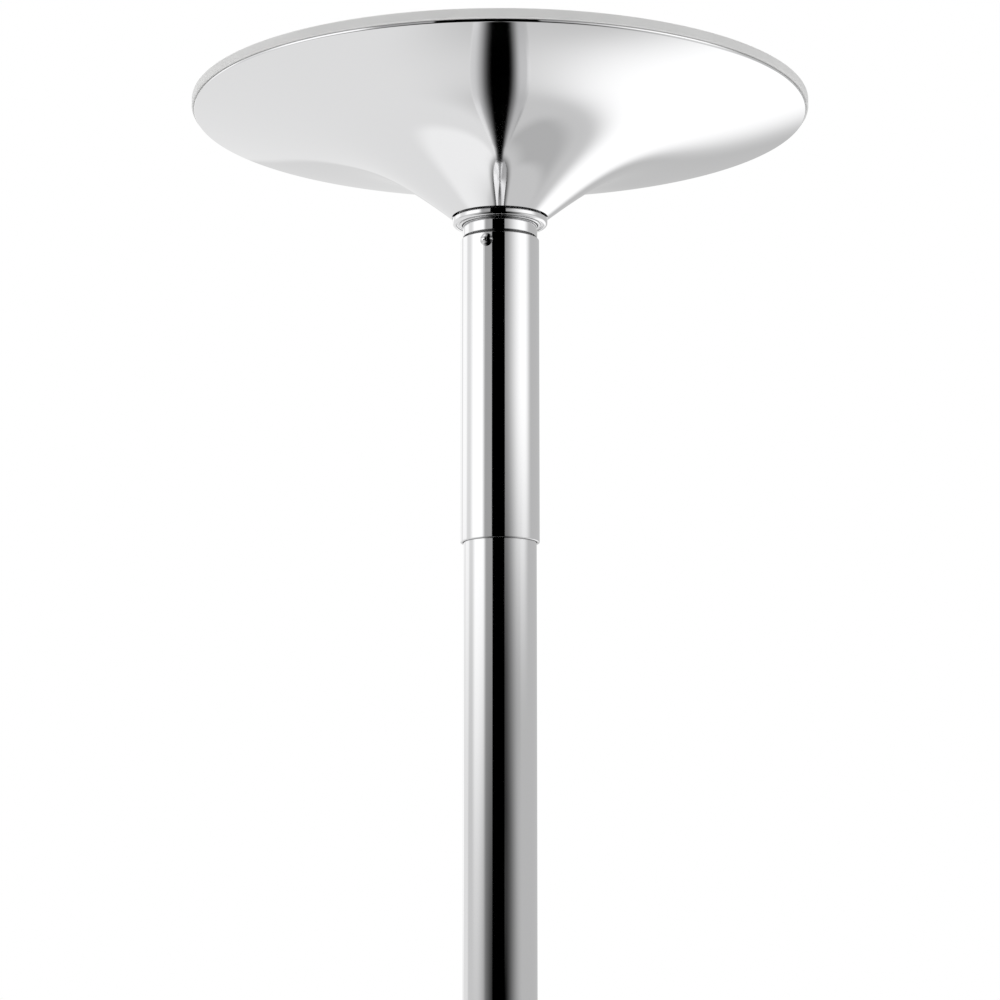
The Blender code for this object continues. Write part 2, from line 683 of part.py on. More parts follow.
def make_joint_core(place, finish):
    """Two half shells inside the tubes, pushed apart by two expander screws."""
    front = finish_object("joint_half_front", half_shell_mesh(-1), finish["zinc"], place)
    back = finish_object("joint_half_back", half_shell_mesh(1), finish["zinc"], place)
    reach = SPIGOT_RADIUS - EXPANDER_DROP
    tip = JOINT_BORE + EXPANDER_SEAT
    levels = {
        "joint_expander_lower": JOINT_HEIGHT - EXPANDER_SPACING / 2,
        "joint_expander_upper": JOINT_HEIGHT + EXPANDER_SPACING / 2,
    }
    rods = [
        (EXPANDER_RADIUS + GAP, (0, 0, level), (0, SPIGOT_RADIUS + CUTTER_PAST, level))
        for level in levels.values()
    ]
    combine(back, rods_cutter("joint_back_holes", rods, place, finish["zinc"]), "DIFFERENCE")
    rods = [
        (EXPANDER_RADIUS + GAP, (0, 0, level), (0, -tip - GAP, level))
        for level in levels.values()
    ]
    combine(front, rods_cutter("joint_front_seats", rods, place, finish["zinc"]), "DIFFERENCE")
    for name, level in levels.items():
        rod = rod_mesh(EXPANDER_RADIUS, (0, -tip, level), (0, reach, level))
        screw = finish_object(name, rod, finish["black"], place)
        deep = (0, reach - SOCKET_DEPTH, level)
        past = (0, reach + GAP, level)
        rods = [(SOCKET_RADIUS, deep, past)]
        socket = rods_cutter(f"{name}_socket", rods, place, finish["black"])
        combine(screw, socket, "DIFFERENCE")


# ---------------------------------------------------------------- jack
def make_bush(place, finish):
    """Plug in the upper tube's top: guides the jack screw and carries its nut."""
    flange_base = UPPER_TUBE_TOP + GAP
    flange_top = flange_base + BUSH_FLANGE
    neck_top = flange_top + BUSH_NECK_HEIGHT
    bottom = UPPER_TUBE_TOP - BUSH_SPIGOT
    bore = JACK_RADIUS + GAP
    outline = [
        (bore, bottom),
        (SPIGOT_RADIUS, bottom),
        (SPIGOT_RADIUS, flange_base),
        (POLE_RADIUS, flange_base),
        (POLE_RADIUS, flange_top),
        (JACK_RADIUS + BUSH_NECK_WALL, flange_top),
        (JACK_RADIUS + BUSH_NECK_WALL, neck_top),
        (bore, neck_top),
    ]
    bush = turned("tube_top_bush", outline, finish["steel"], place)
    holes = grub_cutter("bush_holes", UPPER_GRUB_HEIGHT, place, finish)
    combine(bush, holes, "DIFFERENCE")
    washer_base = neck_top + GAP
    edge = JACK_RADIUS + WASHER_WIDTH
    outline = tube_outline(bore, edge, washer_base, washer_base + WASHER_THICKNESS)
    turned("jack_washer", outline, finish["brass"], place)
    return washer_base + WASHER_THICKNESS


def make_nut(name, low, height, place, finish):
    """Hexagon nut: a six-sided prism, its corners turned down by a cone at each end."""
    corner = 2 * (JACK_RADIUS + NUT_WALL) / math.sqrt(3)
    bar = rod_mesh(corner, (0, 0, low), (0, 0, low + height), sides=6)
    prism = finish_object(name, bar, finish, place, smooth=False)
    outline = [
        (JACK_RADIUS + GAP, low - 2 * GAP),
        (corner - NUT_CHAMFER, low - 2 * GAP),
        (corner + 2 * GAP, low + NUT_CHAMFER),
        (corner + 2 * GAP, low + height - NUT_CHAMFER),
        (corner - NUT_CHAMFER, low + height + 2 * GAP),
        (JACK_RADIUS + GAP, low + height + 2 * GAP),
    ]
    envelope = turned(f"{name}_envelope", outline, finish, place)
    combine(prism, helper(envelope), "INTERSECT")
    return prism


def make_jack_nuts(low, place, finish):
    make_nut("jack_nut", low + GAP, JACK_NUT_HEIGHT, place, finish["steel"])
    lock_base = low + GAP + JACK_NUT_HEIGHT + GAP
    make_nut("lock_nut", lock_base, LOCK_NUT_HEIGHT, place, finish["zinc"])


def make_head(place, finish):
    """Top spindle, built in the ceiling end's own frame, where heights run down from the ceiling."""
    land_end = NECK_TOP + HEAD_LAND
    head_end = NECK_TOP + HEAD_LENGTH
    bore = JACK_RADIUS + GAP
    outline = [
        *shaft_outline(),
        (POLE_RADIUS, NECK_TOP),
        (POLE_RADIUS, land_end),
        (HEAD_WAIST, land_end),
        (HEAD_WAIST, head_end),
        (bore, head_end),
        (bore, head_end - JACK_SOCKET),
        (0, head_end - JACK_SOCKET),
    ]
    return turned("top_spindle", outline, finish["chrome"], place)


def make_jack_screw(place, finish):
    top = HEAD_BOTTOM + JACK_SOCKET - GAP
    low = top - JACK_LENGTH
    outline = [
        (0, low),
        (JACK_RADIUS - JACK_CHAMFER, low),
        (JACK_RADIUS, low + JACK_CHAMFER),
        (JACK_RADIUS, top),
        (0, top),
    ]
    return turned("jack_screw", outline, finish["steel"], place)


def make_sleeve(place, finish):
    outline = tube_outline(
        SLEEVE_INNER, SLEEVE_OUTER, SLEEVE_BOTTOM, SLEEVE_TOP, SLEEVE_CHAMFER
    )
    sleeve = turned("cover_sleeve", outline, finish["chrome"], place)
    start = side_point(SLEEVE_SCREW_TURN, SLEEVE_INNER - CUTTER_PAST, SLEEVE_SCREW_HEIGHT)
    end = side_point(SLEEVE_SCREW_TURN, SLEEVE_OUTER + CUTTER_PAST, SLEEVE_SCREW_HEIGHT)
    rods = [(SLEEVE_SCREW_RADIUS + GAP, start, end)]
    combine(sleeve, rods_cutter("sleeve_hole", rods, place, finish["chrome"]), "DIFFERENCE")


def make_sleeve_screw(place, finish):
    """Domed cross-recess screw through the sleeve, its tip resting against the head's waist."""
    under_head = SLEEVE_OUTER + GAP
    tip = SLEEVE_OUTER - SLEEVE_SCREW_REACH - under_head
    crown = SLEEVE_SCREW_HEAD_HEIGHT
    outline = [
        (0, tip),
        (SLEEVE_SCREW_RADIUS, tip),
        (SLEEVE_SCREW_RADIUS, 0),
        (SLEEVE_SCREW_HEAD, 0),
        (SLEEVE_SCREW_HEAD, crown * 0.35),
        (SLEEVE_SCREW_HEAD * 0.87, crown * 0.72),
        (SLEEVE_SCREW_HEAD * 0.55, crown * 0.95),
        (0, crown),
    ]
    screw = turned("sleeve_screw", outline, finish["zinc"], place, SMALL_SIDES)
    outward = Vector(side_point(SLEEVE_SCREW_TURN, 1, 0))
    rotation = outward.to_track_quat("Z", "Y")
    screw.location = side_point(SLEEVE_SCREW_TURN, under_head, SLEEVE_SCREW_HEIGHT)
    screw.rotation_euler = rotation.to_euler()
    recess = bmesh.new()
    for turn in (RECESS_TURN, RECESS_TURN + math.pi / 2):
        bar = Matrix.Rotation(turn, 4, "Z") @ Matrix.Diagonal(
            (RECESS_LENGTH, RECESS_WIDTH, 2 * RECESS_DEPTH, 1)
        )
        bmesh.ops.create_cube(recess, size=1, matrix=Matrix.Translation((0, 0, crown)) @ bar)
    cross = finish_object("sleeve_screw_recess", recess, finish["zinc"], place, smooth=False)
    cross.location = screw.location
    cross.rotation_euler = screw.rotation_euler
    cut = screw.modifiers.new("cross_recess", "BOOLEAN")
    cut.operation = "DIFFERENCE"
    cut.solver = "EXACT"
    cut.use_self = True
    cut.object = helper(cross)


# ---------------------------------------------------------------- assembly
def build():
    clear_scene()
    finish = finishes()
    floor_base = empty("floor_base_frame")
    pole = empty("pole_frame")
    base_cage = empty("base_cage_frame")
    jack_nuts = empty("jack_nut_frame")
    head = empty("head_frame")
    sleeve = empty("sleeve_frame", parent=head)
    upside_down = {"location": (0, 0, HEIGHT), "turn": (math.pi, 0, 0)}
    ceiling_dome = empty("ceiling_dome_frame", **upside_down)
    ceiling_head = empty("ceiling_head_frame", **upside_down)
    top_cage = empty("top_cage_frame", **upside_down)

    make_end("base", floor_base, pole, base_cage, finish, lock_screws=True)
    make_base_spindle(pole, finish)
    make_lock_screws(floor_base, finish)
    make_tubes(pole, finish)
    make_joint_core(pole, finish)
    nut_base = make_bush(pole, finish)
    make_jack_nuts(nut_base, jack_nuts, finish)
    make_jack_screw(head, finish)
    make_end("top", ceiling_dome, ceiling_head, top_cage, finish, lock_screws=False)
    make_head(ceiling_head, finish)
    make_sleeve(sleeve, finish)
    make_sleeve_screw(sleeve, finish)


build()
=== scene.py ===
"""Looks of the floor-to-ceiling pole: fine turned meshes with procedural finishes.

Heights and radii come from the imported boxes.  An end's own frame has its gasket's face at height 0
and its pole towards +Z, so that the ceiling end is the same shapes turned upside down.
"""

import json
import math
from typing import NamedTuple

import bmesh
import bpy
from mathutils import Matrix, Vector


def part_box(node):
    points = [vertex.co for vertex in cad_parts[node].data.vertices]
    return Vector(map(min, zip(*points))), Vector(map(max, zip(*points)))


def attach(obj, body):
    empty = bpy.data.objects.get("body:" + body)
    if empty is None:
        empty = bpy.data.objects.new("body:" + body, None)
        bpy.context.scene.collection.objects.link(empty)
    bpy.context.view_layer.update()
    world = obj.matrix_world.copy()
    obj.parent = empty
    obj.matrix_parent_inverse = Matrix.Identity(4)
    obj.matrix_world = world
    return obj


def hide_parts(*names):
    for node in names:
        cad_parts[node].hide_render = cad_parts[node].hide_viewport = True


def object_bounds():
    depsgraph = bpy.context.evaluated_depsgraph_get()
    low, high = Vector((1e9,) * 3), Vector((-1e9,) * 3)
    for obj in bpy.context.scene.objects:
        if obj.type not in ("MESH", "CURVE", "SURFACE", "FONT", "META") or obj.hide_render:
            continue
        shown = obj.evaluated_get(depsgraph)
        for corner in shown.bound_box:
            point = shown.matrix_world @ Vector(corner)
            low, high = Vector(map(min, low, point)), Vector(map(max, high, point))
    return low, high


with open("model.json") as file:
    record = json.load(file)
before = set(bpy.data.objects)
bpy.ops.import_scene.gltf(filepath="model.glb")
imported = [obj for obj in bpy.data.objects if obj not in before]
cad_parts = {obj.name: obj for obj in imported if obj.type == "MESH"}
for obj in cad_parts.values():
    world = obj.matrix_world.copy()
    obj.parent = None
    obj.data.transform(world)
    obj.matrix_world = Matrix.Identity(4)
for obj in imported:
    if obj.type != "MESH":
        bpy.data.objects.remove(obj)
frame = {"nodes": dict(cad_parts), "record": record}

cad_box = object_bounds()

# ---------------------------------------------------------------- camera
CAMERA_DISTANCE = 1.860   # from the pole's axis, towards -Y
CAMERA_DROP = 0.5613      # below the ceiling
CAMERA_PITCH = math.radians(9.49)
CAMERA_LENS = 110.53
SENSOR_WIDTH = 36.0

# ---------------------------------------------------------------- sizes that the boxes don't give
GAP = 0.0003
SHEET = 0.0015            # trumpet's sheet and the tubes' wall
LIP_ROUND = 0.0007
LIP_HEIGHT = 0.0014
SHOULDER_SLOPE = 0.125    # the four terms of the flare's slope, see flare_slope()
NECK_SLOPE = 0.690
TURN_RADIUS = 0.0794
TURN_SPREAD = 0.0175
EDGE_SLOPE = 0.1525
EDGE_SPREAD = 0.0674
MOUTH_RADIUS = 0.0300
GASKET_WIDTH = 0.0085
GASKET_ROUND = 0.0010
PLATE_EDGE = 0.0005

HUB_WALL = 0.0048
HUB_BORE = 0.0140
HUB_SCREW_NUMBERS = (1, 2, 3, 4)
SCREW_SHANK = 0.0030
SCREW_HEAD_HEIGHT = 0.0028
RACE_WALL = 0.0025
SHOULDER_DROP = 0.0001
SHAFT_GROOVE = 0.0008

COLLAR_LIFT = 0.0005      # shadow gap over the mouth
COLLAR_BASE_ROUND = 0.0009
COLLAR_TOP_ROUND = 0.0017
GROOVE_OFFSET = 0.0020
GROOVE_WIDTH = 0.0020
GROOVE_DEPTH = 0.0012
NECK_CLEARANCE = 0.0004

HEAD_LAND = 0.0033
UNDERCUT_DEPTH = 0.0020   # this and the next three make the dark line under the neck
UNDERCUT_WIDTH = 0.0010
SLEEVE_DRESSING = 0.0009
NECK_TRIM = 0.0005
JACK_SOCKET = 0.0220
JACK_CHAMFER = 0.0010
THREAD_PITCH = 0.0040
THREAD_DEPTH = 0.0018
THREAD_CREST_FLAT = 1.25  # over 1, the crests come out flat
BUSH_NECK_WALL = 0.0050
BUSH_FLANGE = 0.0060
BUSH_ROOT_ROUND = 0.0015
NUT_CHAMFER = 0.0024
NUT_CHAMFER_SLOPE = 0.6

ACCESS_RADIUS = 0.0032
SOCKET_SHARE = 0.45       # depth of a drive socket as a share of its screw
SOCKET_WIDTH_SHARE = 0.58
SIDES = {"left": -1, "right": 1}
SLEEVE_SCREW_TURN = math.radians(-20.0)   # from the front, -Y
SLEEVE_SCREW_RADIUS = 0.0020
SLEEVE_SCREW_REACH = 0.0050
SLEEVE_SCREW_CROWN = 0.0018
SLEEVE_SCREW_SIDE = 0.0004
SLEEVE_RECESS = (0.0042, 0.0010, 0.0016)  # length, width and depth
SLEEVE_RECESS_TURN = math.radians(18.0)
HUB_RECESS = (0.0062, 0.0013, 0.0018)
RECESS_DRAFT = 0.55       # a recess's bottom as a share of its top

# Rounds on edges, from keen to broad.
EDGE_KEEN = 0.0002
EDGE_FINE = 0.0003
EDGE_SMALL = 0.0004
EDGE_MIDDLE = 0.0005
EDGE_SOFT = 0.0006
EDGE_BROAD = 0.0008

# ---------------------------------------------------------------- mesh resolution
HOLD = 0.00015            # a ring this near each corner keeps the flats between them flat
FLARE_SIDES = 240
FLARE_RINGS = 120
ROUND_SIDES = 144
SMALL_SIDES = 48
NUT_SIDES = 96
THREAD_SIDES = 48
THREAD_RINGS = 10         # for each turn
DOME_STEPS = 8
INNER_RING_STRIDE = 3     # the flare's hidden side keeps one ring in this many
ON_AXIS = 1e-9
SHARP_ANGLE = math.radians(32.0)
THREAD_SHARP_ANGLE = math.radians(50.0)

HEIGHT = cad_box[1].z
POLE_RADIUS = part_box("lower_tube")[1].x


# ---------------------------------------------------------------- packed boxes
def reach(node):
    """How far a node reaches towards +X, which is a round node's radius."""
    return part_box(node)[1].x


def low(node):
    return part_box(node)[0].z


def high(node):
    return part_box(node)[1].z


def middle_height(node):
    return (low(node) + high(node)) / 2


def half_height(node):
    return (high(node) - low(node)) / 2


# ---------------------------------------------------------------- node trees
class Graph:
    """Short names for building a node tree."""

    def __init__(self, tree):
        self.tree = tree
        self.tree.nodes.clear()

    def node(self, kind, **settings):
        made = self.tree.nodes.new(kind)
        for key, value in settings.items():
            setattr(made, key, value)
        return made

    def link(self, source, target):
        self.tree.links.new(source, target)

    def put(self, socket, value):
        if isinstance(value, bpy.types.NodeSocket):
            self.link(value, socket)
        else:
            socket.default_value = value

    def math(self, operation, first, second=0.0):
        made = self.node("ShaderNodeMath", operation=operation)
        self.put(made.inputs[0], first)
        self.put(made.inputs[1], second)
        return made.outputs[0]

    def step(self, value, start, end, first=0.0, last=1.0):
        """Goes smoothly from first to last as value goes from start to end."""
        made = self.node("ShaderNodeMapRange", interpolation_type="SMOOTHSTEP")
        for index, item in enumerate((value, start, end, first, last)):
            self.put(made.inputs[index], item)
        return made.outputs[0]

    def mix(self, share, first, second):
        made = self.node("ShaderNodeMix", data_type="FLOAT")
        self.put(made.inputs[0], share)
        self.put(made.inputs[2], first)
        self.put(made.inputs[3], second)
        return made.outputs[0]

    def mix_colour(self, share, first, second):
        made = self.node("ShaderNodeMix", data_type="RGBA")
        self.put(made.inputs[0], share)
        self.put(made.inputs[6], first)
        self.put(made.inputs[7], second)
        return made.outputs[2]

    def noise(self, vector, scale, detail=2.0, roughness=0.5):
        made = self.node("ShaderNodeTexNoise")
        self.put(made.inputs["Vector"], vector)
        made.inputs["Scale"].default_value = scale
        made.inputs["Detail"].default_value = detail
        made.inputs["Roughness"].default_value = roughness
        return made.outputs["Fac"]

    def stretched(self, vector, factors):
        made = self.node("ShaderNodeMapping")
        self.put(made.inputs["Vector"], vector)
        made.inputs["Scale"].default_value = factors
        return made.outputs["Vector"]


# ---------------------------------------------------------------- finishes
WHITE = (1.0, 1.0, 1.0, 1.0)
CHROME_REFLECTANCE = 0.80
CHROME_ROUGHNESS = 0.03
# Painted shade: the near-black colour laid into crevices, and how far ambient occlusion looks for
# them.
PAINTED_SHADE = (0.012, 0.012, 0.012, 1.0)
PAINTED_SHADE_REACH = 0.0025


def start_material(name):
    made = bpy.data.materials.new(name)
    made.use_nodes = True
    graph = Graph(made.node_tree)
    output = graph.node("ShaderNodeOutputMaterial")
    shader = graph.node("ShaderNodeBsdfPrincipled")
    graph.link(shader.outputs[0], output.inputs[0])
    place = graph.node("ShaderNodeTexCoord").outputs["Object"]
    return made, graph, shader, place


def bump(graph, shader, height, distance, strength=1.0):
    made = graph.node("ShaderNodeBump")
    made.inputs["Strength"].default_value = strength
    made.inputs["Distance"].default_value = distance
    graph.link(height, made.inputs["Height"])
    graph.link(made.outputs[0], shader.inputs["Normal"])


def with_painted_shade(graph, colour):
    """Paints shade into a colour: darkens it inside crevices, gaps and recesses found by ambient
    occlusion.
    """
    occlusion = graph.node("ShaderNodeAmbientOcclusion", samples=4)
    occlusion.inputs["Distance"].default_value = PAINTED_SHADE_REACH
    unshaded_share = graph.step(occlusion.outputs["AO"], 0.22, 0.60)
    return graph.mix_colour(unshaded_share, PAINTED_SHADE, colour)


def chrome_material():
    """Plated mirror: faint haze in patches and hair scratches in its roughness, and painted shade in
    its crevices.
    """
    made, graph, shader, place = start_material("chrome")
    haze = graph.noise(place, scale=14.0, detail=3.0)
    scratches = graph.noise(graph.stretched(place, (900.0, 900.0, 60.0)), scale=1.0)
    scratch = graph.step(scratches, 0.66, 0.78, 0.0, 0.04)
    patch = graph.step(haze, 0.35, 0.75, CHROME_ROUGHNESS, 2 * CHROME_ROUGHNESS)
    graph.link(graph.math("ADD", patch, scratch), shader.inputs["Roughness"])
    level = CHROME_REFLECTANCE
    hazy = (level * 0.985, level * 0.985, level * 0.99, 1.0)
    clear = (level, level, level * 1.01, 1.0)
    plating = graph.mix_colour(haze, hazy, clear)
    # Painted shade: the plating's colour goes near black in crevices, gaps and recesses.
    graph.link(with_painted_shade(graph, plating), shader.inputs["Base Color"])
    shader.inputs["Metallic"].default_value = 1.0
    return made


def rubber_material():
    """Grey moulded rubber with a fine matt grain and a little dust."""
    made, graph, shader, place = start_material("gasket_rubber")
    grain = graph.noise(place, scale=1800.0)
    dust = graph.noise(place, scale=35.0, detail=4.0)
    clean = (0.72, 0.72, 0.715, 1.0)
    dusty = (0.82, 0.82, 0.815, 1.0)
    colour = graph.mix_colour(dust, clean, dusty)
    graph.link(colour, shader.inputs["Base Color"])
    graph.link(graph.step(grain, 0.2, 0.8, 0.62, 0.85), shader.inputs["Roughness"])
    bump(graph, shader, grain, 0.0001, 0.5)
    return made


def steel_material():
    """Turned steel: fine tool rings along the axis and a grey that drifts."""
    made, graph, shader, place = start_material("bare_steel")
    rings = graph.noise(graph.stretched(place, (6.0, 6.0, 2600.0)), scale=1.0, detail=3.0)
    drift = graph.noise(place, scale=45.0, detail=3.0)
    dark = (0.44, 0.45, 0.47, 1.0)
    light = (0.60, 0.61, 0.62, 1.0)
    colour = graph.mix_colour(drift, dark, light)
    graph.link(colour, shader.inputs["Base Color"])
    graph.link(graph.step(rings, 0.25, 0.75, 0.24, 0.42), shader.inputs["Roughness"])
    shader.inputs["Metallic"].default_value = 1.0
    bump(graph, shader, rings, 0.00003, 0.4)
    return made


def zinc_material():
    """Bright zinc plate: soft spangle with a slightly warm and a slightly blue side, and painted
    shade in its crevices.
    """
    made, graph, shader, place = start_material("zinc_plate")
    spangle = graph.noise(place, scale=160.0, detail=4.0, roughness=0.6)
    bluish = (0.56, 0.57, 0.60, 1.0)
    warm = (0.68, 0.67, 0.62, 1.0)
    colour = graph.mix_colour(spangle, bluish, warm)
    # Painted shade: the zinc's colour goes near black in crevices and recesses.
    graph.link(with_painted_shade(graph, colour), shader.inputs["Base Color"])
    graph.link(graph.step(spangle, 0.3, 0.7, 0.24, 0.40), shader.inputs["Roughness"])
    shader.inputs["Metallic"].default_value = 1.0
    bump(graph, shader, spangle, 0.00004, 0.3)
    return made


def brass_material():
    """Drawn brass with turned rings and a tarnish that drifts."""
    made, graph, shader, place = start_material("brass")
    rings = graph.noise(graph.stretched(place, (8.0, 8.0, 3000.0)), scale=1.0)
    tarnish = graph.noise(place, scale=90.0, detail=4.0)
    tarnished = (0.58, 0.40, 0.16, 1.0)
    bright = (0.78, 0.60, 0.28, 1.0)
    colour = graph.mix_colour(tarnish, tarnished, bright)
    graph.link(colour, shader.inputs["Base Color"])
    graph.link(graph.step(rings, 0.25, 0.75, 0.22, 0.38), shader.inputs["Roughness"])
    shader.inputs["Metallic"].default_value = 1.0
    return made


def black_material():
    """Black oxide on screws: oily, worn brighter in patches."""
    made, graph, shader, place = start_material("black_oxide")
    wear = graph.noise(place, scale=420.0, detail=4.0, roughness=0.65)
    oily = (0.022, 0.022, 0.025, 1.0)
    worn = (0.10, 0.10, 0.105, 1.0)
    colour = graph.mix_colour(graph.step(wear, 0.55, 0.8), oily, worn)
    graph.link(colour, shader.inputs["Base Color"])
    graph.link(graph.step(wear, 0.2, 0.8, 0.50, 0.30), shader.inputs["Roughness"])
    shader.inputs["Metallic"].default_value = 1.0
    return made


FINISHES = {
    "chrome": chrome_material(),
    "gasket_rubber": rubber_material(),
    "bare_steel": steel_material(),
    "zinc_plate": zinc_material(),
    "brass": brass_material(),
    "black_oxide": black_material(),
}


# ---------------------------------------------------------------- turned shapes
def rounded(corners, closed=True, steps=5):
    """Outline through (radius, height, fillet) corners, each fillet as an arc, with a ring
    close to both ends of every straight run so that smooth shading leaves it straight."""
    count = len(corners)
    outline = []
    for index, (radius, height, fillet) in enumerate(corners):
        here = Vector((radius, height))
        ends = not closed and index in (0, count - 1)
        if ends:
            outline.append(here)
            continue
        before = Vector(corners[index - 1][:2]) - here
        after = Vector(corners[(index + 1) % count][:2]) - here
        to_before = before.normalized()
        to_after = after.normalized()
        if fillet == 0.0:
            first = [here]
            cut = 0.0
        else:
            half = to_before.angle(to_after) / 2
            cut = fillet / math.tan(half)
            centre = here + (to_before + to_after).normalized() * fillet / math.sin(half)
            start = here + to_before * cut - centre
            end = here + to_after * cut - centre
            turn = start.angle_signed(end)
            first = [
                centre + Matrix.Rotation(-turn * step / steps, 2) @ start
                for step in range(steps + 1)
            ]
        if before.length / 2 > cut + HOLD:
            first.insert(0, here + to_before * (cut + HOLD))
        if after.length / 2 > cut + HOLD:
            first.append(here + to_after * (cut + HOLD))
        outline += first
    return [(point.x, point.y) for point in outline]


def lathe(name, outline, sides=ROUND_SIDES, place=None):
    """Closed solid turned round Z.  An outline with both ends on the axis isn't closed there."""
    vertices = []
    faces = []
    rings = []
    for radius, height in outline:
        if radius < ON_AXIS:
            rings.append([len(vertices)] * sides)
            vertices.append((0.0, 0.0, height))
            continue
        rings.append(list(range(len(vertices), len(vertices) + sides)))
        for side in range(sides):
            angle = math.tau * side / sides
            vertices.append((radius * math.cos(angle), radius * math.sin(angle), height))
    pairs = list(zip(rings, rings[1:]))
    if outline[0][0] > ON_AXIS:
        pairs.append((rings[-1], rings[0]))
    for first, second in pairs:
        for side in range(sides):
            after = (side + 1) % sides
            face = (first[side], first[after], second[after], second[side])
            kept = list(dict.fromkeys(face))
            if len(kept) > 2:
                faces.append(kept)
    return finish_mesh(name, vertices, faces, place)


def finish_mesh(name, vertices, faces, place=None, sharp_angle=SHARP_ANGLE):
    mesh = bpy.data.meshes.new(name)
    mesh.from_pydata(vertices, [], faces)
    tidy = bmesh.new()
    tidy.from_mesh(mesh)
    bmesh.ops.recalc_face_normals(tidy, faces=tidy.faces)
    tidy.to_mesh(mesh)
    tidy.free()
    mesh.shade_smooth()
    mesh.set_sharp_from_angle(angle=sharp_angle)
    made = bpy.data.objects.new(name, mesh)
    bpy.context.scene.collection.objects.link(made)
    if place is not None:
        made.matrix_world = place
    return made


def settle(piece, body, slot, *nodes):
    """Gives a piece its finish, its body and the CAD nodes that it stands for."""
    piece.data.materials.clear()
    piece.data.materials.append(FINISHES[slot])
    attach(piece, body)
    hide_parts(*nodes)


def rod(radius, start, end, sides=SMALL_SIDES):
    """A closed cylinder between two points, used as a cutter."""
    start = Vector(start)
    along = Vector(end) - start
    tool = bmesh.new()
    bmesh.ops.create_cone(
        tool,
        cap_ends=True,
        segments=sides,
        radius1=radius,
        radius2=radius,
        depth=along.length,
        matrix=Matrix.Translation(start + along / 2)
        @ along.to_track_quat("Z", "Y").to_matrix().to_4x4(),
    )
    return tool


def cut(piece, tools):
    """Cuts each closed tool shape out of a piece and keeps its round faces smooth."""
    helper_mesh = bpy.data.meshes.new(f"{piece.name}_cutter")
    joined = bmesh.new()
    for tool in tools:
        tool.to_mesh(helper_mesh)
        tool.free()
        joined.from_mesh(helper_mesh)
    joined.to_mesh(helper_mesh)
    joined.free()
    helper = bpy.data.objects.new(helper_mesh.name, helper_mesh)
    bpy.context.scene.collection.objects.link(helper)
    helper.matrix_world = piece.matrix_world
    modifier = piece.modifiers.new("holes", "BOOLEAN")
    modifier.operation = "DIFFERENCE"
    modifier.solver = "EXACT"
    modifier.object = helper
    graph = bpy.context.evaluated_depsgraph_get()
    cut_mesh = bpy.data.meshes.new_from_object(piece.evaluated_get(graph))
    piece.modifiers.clear()
    piece.data = cut_mesh
    cut_mesh.shade_smooth()
    cut_mesh.set_sharp_from_angle(angle=SHARP_ANGLE)
    bpy.data.objects.remove(helper, do_unlink=True)


# ---------------------------------------------------------------- end plates
def flare_slope(radius, rim):
    """Slope of the flare's outer surface: shoulder, turn into the neck, and edge."""
    neck = NECK_SLOPE / (1 + math.exp((radius - TURN_RADIUS) / TURN_SPREAD))
    edge = EDGE_SLOPE * math.exp((radius - rim) / EDGE_SPREAD)
    return SHOULDER_SLOPE + neck + edge


def flare_profile(rim, mouth, start, rings):
    """(radius, height, lean) of the flare's outer surface, from the rim to the mouth."""
    height = start
    width = (rim - mouth) / rings
    profile = []
    for ring in range(rings + 1):
        radius = rim - width * ring
        profile.append((radius, height, math.atan(flare_slope(radius, rim))))
        height += flare_slope(radius - width / 2, rim) * width
    return profile


def make_trumpet(prefix, place, body):
    """Spun sheet flare with a turned lip under the gasket."""
    rim = reach(f"{prefix}_trumpet")
    base = low("base_trumpet")
    lip_top = base + LIP_HEIGHT
    profile = flare_profile(rim, MOUTH_RADIUS, lip_top, FLARE_RINGS)
    outer = [(radius, height) for radius, height, lean in profile if radius < rim - LIP_ROUND]
    inner = [
        (radius - SHEET * math.sin(lean), height - SHEET * math.cos(lean))
        for radius, height, lean in profile[::INNER_RING_STRIDE]
        if radius < rim - 3 * SHEET
    ]
    lip = rounded([(rim, base, 0.0), (rim, lip_top, LIP_ROUND), outer[0] + (0.0,)], closed=False)
    outline = [(rim - SHEET, base), *lip, *outer[1:], *inner[::-1]]
    piece = lathe(f"{prefix}_trumpet_shell", outline, FLARE_SIDES, place)
    settle(piece, body, "chrome", f"{prefix}_trumpet")


def make_gasket(prefix, place, body):
    """Rubber ring between the trumpet's lip and the floor or ceiling."""
    outer = reach(f"{prefix}_gasket")
    inner = outer - GASKET_WIDTH
    top = high("base_gasket")
    corners = [
        (inner, 0.0, GASKET_ROUND / 2),
        (outer, 0.0, GASKET_ROUND),
        (outer, top, GASKET_ROUND),
        (inner, top, GASKET_ROUND / 2),
    ]
    piece = lathe(f"{prefix}_gasket_ring", rounded(corners), FLARE_SIDES, place)
    settle(piece, body, "gasket_rubber", f"{prefix}_gasket")


def screw_centres():
    """Middles of the base's hub screws.  The ceiling end's are the same in its own frame."""
    boxes = [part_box(f"base_hub_screw_{number}") for number in HUB_SCREW_NUMBERS]
    return [
        Vector(((lower.x + upper.x) / 2, (lower.y + upper.y) / 2, 0.0)) for lower, upper in boxes
    ]


